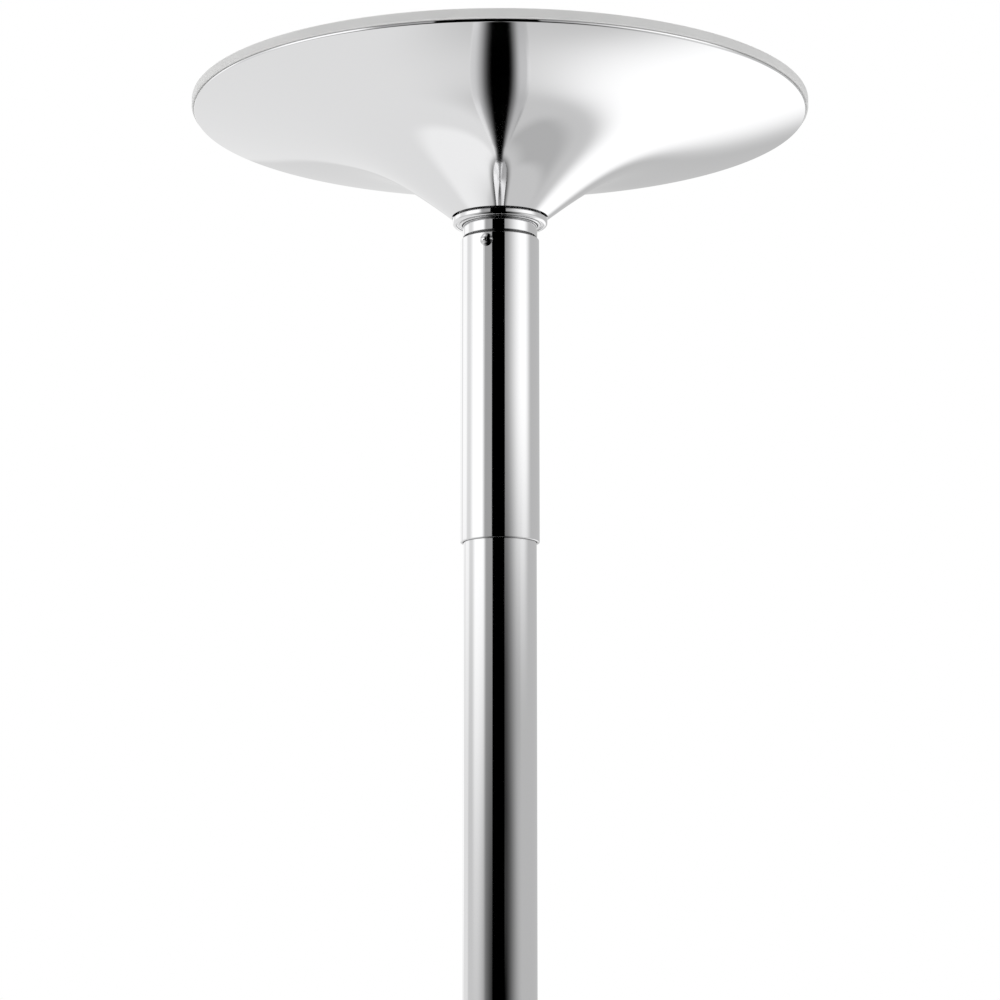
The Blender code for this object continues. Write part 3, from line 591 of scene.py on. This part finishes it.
def make_plate(prefix, place, body):
    """Backing plate, its edge broken and its screw holes countersunk."""
    outer = reach(f"{prefix}_plate")
    base = low("base_plate")
    top = high("base_plate")
    corners = [
        (0.0, base, 0.0),
        (outer, base, PLATE_EDGE),
        (outer, top, PLATE_EDGE),
        (0.0, top, 0.0),
    ]
    plate = lathe(f"{prefix}_plate_disc", rounded(corners, closed=False), FLARE_SIDES, place)
    head = screw_head_radius() + 2 * GAP
    shank = SCREW_SHANK + GAP
    below = Vector((0, 0, base - GAP))
    mouth = Vector((0, 0, base + 2 * GAP))
    cone_middle = Vector((0, 0, base + GAP + SCREW_HEAD_HEIGHT / 2))
    cone_end = Vector((0, 0, base + SCREW_HEAD_HEIGHT))
    above = Vector((0, 0, top + GAP))
    tools = []
    for centre in screw_centres():
        tool = bmesh.new()
        bmesh.ops.create_cone(
            tool,
            cap_ends=True,
            segments=SMALL_SIDES,
            radius1=head,
            radius2=shank,
            depth=SCREW_HEAD_HEIGHT,
            matrix=Matrix.Translation(centre + cone_middle),
        )
        tools.append(tool)
        tools.append(rod(shank, centre + cone_end, centre + above))
        tools.append(rod(head, centre + below, centre + mouth))
    cut(plate, tools)
    settle(plate, body, "zinc_plate", f"{prefix}_plate")


def screw_head_radius():
    lower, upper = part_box("base_hub_screw_1")
    return (upper.x - lower.x) / 2


def make_hub(prefix, place, body):
    """Flanged bearing housing, its edges rounded."""
    flange = reach(f"{prefix}_hub")
    outer = reach("base_outer_race") + HUB_WALL
    seat = reach("base_outer_race") + GAP
    base = low("base_hub")
    top = high("base_hub")
    flange_top = high("base_hub_screw_1")
    seat_base = low("base_outer_race") - GAP
    corners = [
        (HUB_BORE, base, EDGE_FINE),
        (flange, base, EDGE_SMALL),
        (flange, flange_top, EDGE_BROAD),
        (outer, flange_top, 0.0),
        (outer, top, EDGE_SOFT),
        (seat, top, EDGE_FINE),
        (seat, seat_base, 0.0),
        (HUB_BORE, seat_base, EDGE_FINE),
    ]
    hub = lathe(f"{prefix}_hub_turned", rounded(corners), ROUND_SIDES, place)
    below = Vector((0, 0, base - GAP))
    above = Vector((0, 0, flange_top + GAP))
    hole = SCREW_SHANK + GAP
    cut(hub, [rod(hole, centre + below, centre + above) for centre in screw_centres()])
    settle(hub, body, "bare_steel", f"{prefix}_hub")


def recess_tools(size, height, turn=0.0):
    """The two crossed bars of a cross recess, their ends drawn in towards the bottom."""
    length, width, depth = size
    tools = []
    for quarter in (0.0, math.pi / 2):
        tool = bmesh.new()
        place = Matrix.Translation((0, 0, height)) @ Matrix.Rotation(turn + quarter, 4, "Z")
        bar = place @ Matrix.Diagonal((length, width, 2 * depth, 1))
        bmesh.ops.create_cube(tool, size=1, matrix=bar)
        bottom = [vertex for vertex in tool.verts if vertex.co.z < height]
        bmesh.ops.scale(tool, vec=(RECESS_DRAFT, RECESS_DRAFT, 1.0), verts=bottom)
        tools.append(tool)
    return tools


def make_hub_screw(prefix, number, place, body):
    """Countersunk screw with a cross recess in its face and a chamfered tip."""
    node = f"{prefix}_hub_screw_{number}"
    lower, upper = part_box(node)
    face = low("base_hub_screw_1")
    end = high("base_hub_screw_1")
    corners = [
        (0.0, face, 0.0),
        (screw_head_radius(), face, EDGE_KEEN),
        (SCREW_SHANK, face + SCREW_HEAD_HEIGHT, EDGE_FINE),
        (SCREW_SHANK, end, EDGE_MIDDLE),
        (0.0, end, 0.0),
    ]
    middle = Vector(((lower.x + upper.x) / 2, (lower.y + upper.y) / 2, place.translation.z))
    own_place = place @ Matrix.Translation(place.inverted() @ middle)
    screw = lathe(f"{node}_turned", rounded(corners, closed=False), SMALL_SIDES, own_place)
    for tool in recess_tools(HUB_RECESS, face, turn=number):
        cut(screw, [tool])
    settle(screw, body, "zinc_plate", node)


def make_collar(prefix, place, body):
    """Ring over the trumpet's mouth; the base's has a hole at each side for a lock screw."""
    outer = reach(f"{prefix}_collar")
    base = low("base_collar") + COLLAR_LIFT
    top = high("base_collar")
    inner = reach("base_spindle") + NECK_CLEARANCE
    groove = reach("base_spindle") + GROOVE_OFFSET
    floor = top - GROOVE_DEPTH
    corners = [
        (inner, base, 0.0),
        (outer, base, COLLAR_BASE_ROUND),
        (outer, top, COLLAR_TOP_ROUND),
        (groove + GROOVE_WIDTH, top, EDGE_MIDDLE),
        (groove + GROOVE_WIDTH, floor, EDGE_SMALL),
        (groove, floor, EDGE_SMALL),
        (groove, top, EDGE_SMALL),
        (inner, top, EDGE_KEEN),
    ]
    collar = lathe(f"{prefix}_collar_ring", rounded(corners), ROUND_SIDES, place)
    if prefix == "base":
        node = "spin_lock_screw_right"
        radius = half_height(node) + GAP
        cut(collar, side_rods(middle_height(node), inner - GAP, outer + GAP, radius))
    settle(collar, body, "chrome", f"{prefix}_collar")


def make_end(prefix, place, body):
    make_gasket(prefix, place, body)
    make_trumpet(prefix, place, body)
    make_plate(prefix, place, body)
    make_hub(prefix, place, body)
    make_collar(prefix, place, body)
    for number in HUB_SCREW_NUMBERS:
        make_hub_screw(prefix, number, place, body)


# ---------------------------------------------------------------- screws at the pole's sides
def side_rods(height, inner, outer, radius):
    """Cutters for a hole at each side, along X."""
    return [
        rod(radius, (side * inner, 0, height), (side * outer, 0, height)) for side in SIDES.values()
    ]


def make_socket_screw(node, body):
    """Headless screw along X with a rounded rim and a hexagon socket in its outer end."""
    lower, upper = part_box(node)
    side = 1 if upper.x > 0 else -1
    start = min(abs(lower.x), abs(upper.x))
    end = max(abs(lower.x), abs(upper.x))
    radius = half_height(node)
    middle = Matrix.Translation((0, 0, middle_height(node)))
    place = middle @ Matrix.Rotation(side * math.pi / 2, 4, "Y")
    corners = [
        (0.0, start, 0.0),
        (radius, start, radius / 5),
        (radius, end, radius / 8),
        (0.0, end, 0.0),
    ]
    screw = lathe(f"{node}_turned", rounded(corners, closed=False), SMALL_SIDES, place)
    width = SOCKET_WIDTH_SHARE * radius
    depth = SOCKET_SHARE * (end - start)
    cut(screw, [rod(width, (0, 0, end - depth), (0, 0, end + GAP), sides=6)])
    settle(screw, body, "black_oxide", node)


# ---------------------------------------------------------------- spindles
def shaft_corners():
    """Shaft with its circlip groove, shoulder and neck, from the tip up."""
    race_base = low("base_inner_race")
    race_top = high("base_inner_race")
    shaft = reach("base_inner_race") - RACE_WALL - GAP
    groove_top = race_base - GAP
    groove_base = low("base_circlip") - GAP
    tip = low("base_spindle")
    neck = reach("base_spindle")
    neck_base = low("base_collar") + NECK_CLEARANCE
    neck_top = low("lower_tube") - GAP
    shoulder = reach("base_inner_race") - SHOULDER_DROP
    return [
        (0.0, tip, 0.0),
        (shaft, tip, EDGE_SOFT),
        (shaft, groove_base, 0.0),
        (shaft - SHAFT_GROOVE, groove_base, 0.0),
        (shaft - SHAFT_GROOVE, groove_top, 0.0),
        (shaft, groove_top, 0.0),
        (shaft, race_top + GAP, 0.0),
        (shoulder, race_top + GAP, EDGE_KEEN),
        (shoulder, neck_base, 0.0),
        (neck, neck_base, EDGE_FINE),
        (neck, neck_top, EDGE_FINE),
    ]


def make_head():
    """Top spindle: neck, land that carries the sleeve, waist for its screw, socket for the jack."""
    neck_top = low("lower_tube") - GAP
    neck_end = neck_top - NECK_TRIM
    land_end = neck_top + HEAD_LAND
    waist = reach("cover_sleeve") - SLEEVE_SCREW_REACH - GAP
    end = HEIGHT - low("top_spindle")
    bore = reach("jack_screw") + GAP
    corners = [
        *shaft_corners()[:-1],
        (reach("top_spindle"), neck_end, EDGE_FINE),
        (POLE_RADIUS - UNDERCUT_DEPTH, neck_end, 0.0),
        (POLE_RADIUS - UNDERCUT_DEPTH, neck_top + UNDERCUT_WIDTH, 0.0),
        (POLE_RADIUS, neck_top + UNDERCUT_WIDTH, 0.0),
        (POLE_RADIUS, land_end, EDGE_FINE),
        (waist, land_end, 0.0),
        (waist, end, EDGE_SOFT),
        (bore, end, EDGE_MIDDLE),
        (bore, end - JACK_SOCKET, 0.0),
        (0.0, end - JACK_SOCKET, 0.0),
    ]
    outline = rounded(corners, closed=False)
    piece = lathe("top_spindle_turned", outline, ROUND_SIDES, END_PLACES["top"])
    settle(piece, "head", "chrome", "top_spindle")


def make_base_spindle():
    """Base spindle: the same shaft and neck, and a spigot that fills the lower tube's end."""
    neck_top = low("lower_tube") - GAP
    spigot = POLE_RADIUS - SHEET - GAP
    corners = [
        *shaft_corners(),
        (spigot, neck_top, 0.0),
        (spigot, high("base_spindle"), EDGE_BROAD),
        (0.0, high("base_spindle"), 0.0),
    ]
    piece = lathe("base_spindle_turned", rounded(corners, closed=False))
    cut(piece, grub_rods("lower_tube"))
    settle(piece, "pole", "chrome", "base_spindle")


# ---------------------------------------------------------------- tubes and sleeve
def grub_rods(prefix):
    """Holes at the sides for a tube's two grub screws."""
    node = f"{prefix}_grub_right"
    radius = half_height(node) + GAP
    return side_rods(middle_height(node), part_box(node)[0].x - GAP, POLE_RADIUS + GAP, radius)


def tube_corners(node, inner, edge):
    """Section of a plain tube or washer with its packed outside and height."""
    outer = reach(node)
    return [
        (inner, low(node), edge / 2),
        (outer, low(node), edge),
        (outer, high(node), edge),
        (inner, high(node), edge / 2),
    ]


def make_pole_tube(prefix):
    """Drawn tube with its grub-screw holes and the access hole of its expander screw."""
    node = f"{prefix}_tube"
    level = middle_height(f"joint_expander_{prefix}")
    bore = POLE_RADIUS - SHEET
    tube = lathe(f"{node}_drawn", rounded(tube_corners(node, bore, EDGE_FINE)))
    access = rod(ACCESS_RADIUS, (0, bore - SHEET, level), (0, POLE_RADIUS + SHEET, level))
    cut(tube, [access, *grub_rods(node)])
    settle(tube, "pole", "chrome", node)


def make_sleeve():
    """Cover sleeve, its top edge dressed back so that a dark line shows between it and the neck."""
    inner = POLE_RADIUS + GAP
    outer = reach("cover_sleeve")
    top = high("cover_sleeve") - SLEEVE_DRESSING
    corners = [
        (inner, low("cover_sleeve"), EDGE_KEEN),
        (outer, low("cover_sleeve"), EDGE_SMALL),
        (outer, top, EDGE_SMALL),
        (inner, top, EDGE_KEEN),
    ]
    sleeve = lathe("cover_sleeve_drawn", rounded(corners))
    tool = rod(
        SLEEVE_SCREW_RADIUS + GAP,
        sleeve_screw_place() @ Vector((0, 0, -2 * SHEET)),
        sleeve_screw_place() @ Vector((0, 0, SHEET)),
    )
    cut(sleeve, [tool])
    settle(sleeve, "sleeve", "chrome", "cover_sleeve")


def sleeve_screw_place():
    """Underside of the screw's head, +Z outward."""
    outward = Vector((math.sin(SLEEVE_SCREW_TURN), -math.cos(SLEEVE_SCREW_TURN), 0.0))
    start = outward * (reach("cover_sleeve") + GAP) + Vector((0, 0, middle_height("sleeve_screw")))
    return Matrix.Translation(start) @ outward.to_track_quat("Z", "Y").to_matrix().to_4x4()


def make_sleeve_screw():
    """Domed pan-head screw with a cross recess."""
    head = half_height("sleeve_screw")
    crown = SLEEVE_SCREW_CROWN
    rise = crown - SLEEVE_SCREW_SIDE
    dome_radius = (head**2 + rise**2) / (2 * rise)
    dome = []
    for step in range(DOME_STEPS + 1):
        radius = head * (1 - step / DOME_STEPS)
        dome.append((radius, crown - dome_radius + math.sqrt(dome_radius**2 - radius**2)))
    outline = [
        (0.0, GAP - SLEEVE_SCREW_REACH),
        (SLEEVE_SCREW_RADIUS - EDGE_FINE, GAP - SLEEVE_SCREW_REACH),
        (SLEEVE_SCREW_RADIUS, EDGE_SOFT - SLEEVE_SCREW_REACH),
        (SLEEVE_SCREW_RADIUS, 0.0),
        (head - EDGE_FINE, 0.0),
        (head, EDGE_FINE),
        *dome,
    ]
    screw = lathe("sleeve_screw_turned", outline, SMALL_SIDES, sleeve_screw_place())
    for tool in recess_tools(SLEEVE_RECESS, crown, SLEEVE_RECESS_TURN):
        cut(screw, [tool])
    settle(screw, "sleeve", "chrome", "sleeve_screw")


# ---------------------------------------------------------------- jack
def make_jack_screw():
    """Rod with a rounded right-hand thread."""
    outer = reach("jack_screw")
    start = low("jack_screw")
    length = high("jack_screw") - start
    rings = round(length / THREAD_PITCH * THREAD_RINGS)
    vertices = []
    for ring in range(rings + 1):
        height = length * ring / rings
        end_cut = max(0.0, JACK_CHAMFER - height, JACK_CHAMFER - (length - height))
        for side in range(THREAD_SIDES):
            share = side / THREAD_SIDES
            wave = 0.5 + 0.5 * math.cos(math.tau * (height / THREAD_PITCH - share))
            radius = outer - THREAD_DEPTH * (1 - min(1.0, THREAD_CREST_FLAT * wave)) - end_cut
            angle = math.tau * share
            vertices.append((radius * math.cos(angle), radius * math.sin(angle), start + height))
    faces = []
    for ring in range(rings):
        for side in range(THREAD_SIDES):
            after = (side + 1) % THREAD_SIDES
            first = ring * THREAD_SIDES
            second = first + THREAD_SIDES
            faces.append((first + side, first + after, second + after, second + side))
    faces.append(tuple(range(THREAD_SIDES)))
    faces.append(tuple(range(rings * THREAD_SIDES, (rings + 1) * THREAD_SIDES)))
    screw = finish_mesh("jack_screw_threaded", vertices, faces, sharp_angle=THREAD_SHARP_ANGLE)
    settle(screw, "head", "bare_steel", "jack_screw")


def make_nut(node, slot):
    """Hexagon nut, its corners turned down at both ends and its bore countersunk."""
    lower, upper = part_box(node)
    corner = max(upper.x, upper.y)
    bore = reach("jack_screw") + GAP
    envelope = rounded(
        [
            (bore, lower.z, EDGE_BROAD),
            (corner - NUT_CHAMFER, lower.z, 0.0),
            (corner + GAP, lower.z + NUT_CHAMFER * NUT_CHAMFER_SLOPE, 0.0),
            (corner + GAP, upper.z - NUT_CHAMFER * NUT_CHAMFER_SLOPE, 0.0),
            (corner - NUT_CHAMFER, upper.z, 0.0),
            (bore, upper.z, EDGE_BROAD),
        ]
    )
    nut = lathe(f"{node}_hexagon", envelope, NUT_SIDES)
    flat = corner * math.cos(math.pi / 6)
    for face in range(6):
        tool = bmesh.new()
        turn = Matrix.Rotation(math.radians(30 + 60 * face), 4, "Z")
        middle = Matrix.Translation((flat + corner / 2, 0, (lower.z + upper.z) / 2))
        size = Matrix.Diagonal((corner, 3 * corner, 2 * (upper.z - lower.z), 1))
        bmesh.ops.create_cube(tool, size=1, matrix=turn @ middle @ size)
        cut(nut, [tool])
    settle(nut, "jack_nuts", slot, node)


def make_bush():
    """Plug in the upper tube's top: spigot, flange, and a neck that guides the jack screw."""
    bore = reach("jack_screw") + GAP
    neck = bore - GAP + BUSH_NECK_WALL
    spigot = POLE_RADIUS - SHEET - GAP
    flange_base = high("upper_tube") + GAP
    flange_top = flange_base + BUSH_FLANGE
    base = low("tube_top_bush")
    top = high("tube_top_bush")
    corners = [
        (bore, base, EDGE_SMALL),
        (spigot, base, EDGE_BROAD),
        (spigot, flange_base, 0.0),
        (POLE_RADIUS, flange_base, EDGE_FINE),
        (POLE_RADIUS, flange_top, EDGE_BROAD),
        (neck, flange_top, BUSH_ROOT_ROUND),
        (neck, top, EDGE_SOFT),
        (bore, top, EDGE_SMALL),
    ]
    bush = lathe("tube_top_bush_turned", rounded(corners))
    cut(bush, grub_rods("upper_tube"))
    settle(bush, "pole", "bare_steel", "tube_top_bush")


def make_washer():
    """Brass washer under the jack nut."""
    corners = tube_corners("jack_washer", reach("jack_screw") + GAP, EDGE_SMALL)
    settle(lathe("jack_washer_turned", rounded(corners)), "pole", "brass", "jack_washer")


# ---------------------------------------------------------------- assembly
END_PLACES = {
    "base": Matrix.Identity(4),
    "top": Matrix.Translation((0, 0, HEIGHT)) @ Matrix.Rotation(math.pi, 4, "X"),
}
make_end("base", END_PLACES["base"], "floor_base")
make_end("top", END_PLACES["top"], "ceiling_dome")
make_base_spindle()
make_head()
for prefix in ("lower", "upper"):
    make_pole_tube(prefix)
    for side in SIDES:
        make_socket_screw(f"{prefix}_tube_grub_{side}", "pole")
for side in SIDES:
    make_socket_screw(f"spin_lock_screw_{side}", f"spin_lock_{side}")
make_sleeve()
make_sleeve_screw()
make_jack_screw()
make_nut("jack_nut", "bare_steel")
make_nut("lock_nut", "zinc_plate")
make_bush()
make_washer()


# ---------------------------------------------------------------- CAD nodes that stay
SLOT_OF = {item["node"]: item["material_slot"] for item in frame["record"]["subparts"]}
for node_name, node_object in frame["nodes"].items():
    node_object.data.materials.clear()
    node_object.data.materials.append(FINISHES[SLOT_OF[node_name]])


# ---------------------------------------------------------------- floor
FLOOR_SIZE = 40.0
FLOOR_FADE_START = 1.2    # from the pole
FLOOR_FADE_END = 6.0


def floor_material():
    """Pale matt paper that turns into the backdrop's white far from the pole."""
    made, graph, shader, place = start_material("studio_floor")
    shader.inputs["Roughness"].default_value = 0.9
    grain = graph.noise(place, scale=30.0, detail=3.0)
    dull = (0.85, 0.85, 0.85, 1.0)
    bright = (0.87, 0.87, 0.87, 1.0)
    graph.link(graph.mix_colour(grain, dull, bright), shader.inputs["Base Color"])
    distance = graph.node("ShaderNodeVectorMath", operation="LENGTH")
    graph.link(place, distance.inputs[0])
    fade = graph.step(distance.outputs["Value"], FLOOR_FADE_START, FLOOR_FADE_END)
    glow = graph.node("ShaderNodeEmission")
    glow.inputs["Color"].default_value = WHITE
    blend = graph.node("ShaderNodeMixShader")
    graph.link(fade, blend.inputs[0])
    graph.link(shader.outputs[0], blend.inputs[1])
    graph.link(glow.outputs[0], blend.inputs[2])
    output = next(node for node in graph.tree.nodes if node.type == "OUTPUT_MATERIAL")
    graph.link(blend.outputs[0], output.inputs[0])
    return made


def make_floor():
    half = FLOOR_SIZE / 2
    corners = [(-half, -half, 0), (half, -half, 0), (half, half, 0), (-half, half, 0)]
    mesh = bpy.data.meshes.new("floor")
    mesh.from_pydata(corners, [], [(0, 1, 2, 3)])
    mesh.materials.append(floor_material())
    floor = bpy.data.objects.new("floor", mesh)
    bpy.context.scene.collection.objects.link(floor)
    floor.visible_glossy = False


make_floor()

# ---------------------------------------------------------------- studio light
class Panel(NamedTuple):
    """Part of the studio round the pole, in degrees.  Azimuth 0 is the camera's side, -Y, and
    grows towards +X.  Level is how bright the chrome shows it, as a share of the backdrop."""

    name: str
    left: float
    right: float
    low: float
    high: float
    level: float
    left_fade: float = 10.0
    right_fade: float = 10.0
    low_fade: float = 10.0
    high_fade: float = 10.0


ROOM_LEVEL = 0.71
PANELS = (
    Panel("ceiling", -180, 180, 45, 90, 1.15, low_fade=25),
    Panel("floor_right", 60, 182, -90, -50, 0.54, high_fade=14),
    Panel("floor_left", -150, -100, -78, -55, 0.84),
    Panel("wall_left", -112, -40, -12, 3, 0.55, right_fade=20, high_fade=9),
    Panel("wall_right", 20, 176, -8, 60, 0.46, low_fade=10),
    Panel("rear_wall", 184, 187.3, -4.5, 60, 0.60, left_fade=8, right_fade=0.8, low_fade=1.5),
    Panel("rear_strip", -163, -157, 3, 60, 0.96, left_fade=3, low_fade=5),
    Panel("rear_left_box", -134, -118, 11, 60, 0.96, low_fade=8),
    Panel("left_box", -82, -58, 10, 60, 1.04, left_fade=18, right_fade=20, low_fade=11),
    Panel("rear_right_box", 130, 170, -34, -20, 1.03, low_fade=13, high_fade=16),
    Panel("steep_right_gap", 126, 160, -72, -60, 0.42),
    Panel("right_flag", 0, 62, 11, 60, 0.27, low_fade=8),
    Panel("right_box", 68, 77, 12, 60, 1.03, left_fade=60, right_fade=27, low_fade=7),
    Panel("low_right_flag", 0, 2, 4, 6, 0.0, right_fade=58, low_fade=4, high_fade=6.5),
    Panel("left_flag", -42, -10, 0, 60, 0.34, left_fade=12, low_fade=6),
    Panel("front_shade", -14, 14, -40, 0, 0.0, left_fade=64, right_fade=60, low_fade=20),
    Panel("low_front_shade", -28, 32, -92, -38, 0.0, left_fade=92, right_fade=58, high_fade=20),
    Panel(
        "black_flag", -23, 13.5, -6, 24, 0.0,
        left_fade=1.5, right_fade=1.5, low_fade=8, high_fade=20,
    ),
    Panel("under", -180, 180, -92, -86, 0.03, high_fade=5),
)


def make_world():
    """White for the camera.  Everything else sees the room, its panels laid over it in turn."""
    world = bpy.data.worlds.new("studio")
    bpy.context.scene.world = world
    world.use_nodes = True
    graph = Graph(world.node_tree)
    output = graph.node("ShaderNodeOutputWorld")
    parts = graph.node("ShaderNodeSeparateXYZ")
    graph.link(graph.node("ShaderNodeTexCoord").outputs["Generated"], parts.inputs[0])
    east, north, up = parts.outputs
    degrees = 180 / math.pi
    south = graph.math("MULTIPLY", north, -1.0)
    azimuth = graph.math("MULTIPLY", graph.math("ARCTAN2", east, south), degrees)
    elevation = graph.math("MULTIPLY", graph.math("ARCSINE", up), degrees)

    light = ROOM_LEVEL
    for panel in PANELS:
        middle = (panel.left + panel.right) / 2
        half = (panel.right - panel.left) / 2
        aside = graph.math("WRAP", graph.math("SUBTRACT", azimuth, middle), 180.0)
        aside.node.inputs[2].default_value = -180.0
        masks = [
            graph.step(elevation, panel.low - panel.low_fade, panel.low),
            graph.step(elevation, panel.high, panel.high + panel.high_fade, 1.0, 0.0),
        ]
        if half < 180:
            masks.append(graph.step(aside, -half - panel.left_fade, -half))
            masks.append(graph.step(aside, half, half + panel.right_fade, 1.0, 0.0))
        share = masks[0]
        for mask in masks[1:]:
            share = graph.math("MULTIPLY", share, mask)
        light = graph.mix(share, light, panel.level)
    light = graph.math("DIVIDE", light, CHROME_REFLECTANCE)

    reflected = graph.node("ShaderNodeBackground")
    reflected.inputs["Color"].default_value = WHITE
    graph.link(light, reflected.inputs["Strength"])
    backdrop = graph.node("ShaderNodeBackground")
    backdrop.inputs["Color"].default_value = WHITE
    chosen = graph.node("ShaderNodeMixShader")
    graph.link(graph.node("ShaderNodeLightPath").outputs["Is Camera Ray"], chosen.inputs[0])
    graph.link(reflected.outputs[0], chosen.inputs[1])
    graph.link(backdrop.outputs[0], chosen.inputs[2])
    graph.link(chosen.outputs[0], output.inputs[0])


def make_camera():
    """The photograph's view: just below the ceiling end, tilted up at it."""
    data = bpy.data.cameras.new("camera")
    data.lens = CAMERA_LENS
    data.sensor_width = SENSOR_WIDTH
    camera = bpy.data.objects.new("camera", data)
    bpy.context.scene.collection.objects.link(camera)
    camera.location = (0.0, -CAMERA_DISTANCE, HEIGHT - CAMERA_DROP)
    camera.rotation_euler = (math.pi / 2 + CAMERA_PITCH, 0.0, 0.0)
    bpy.context.scene.camera = camera


make_world()
make_camera()
bpy.context.scene.view_settings.view_transform = "Standard"
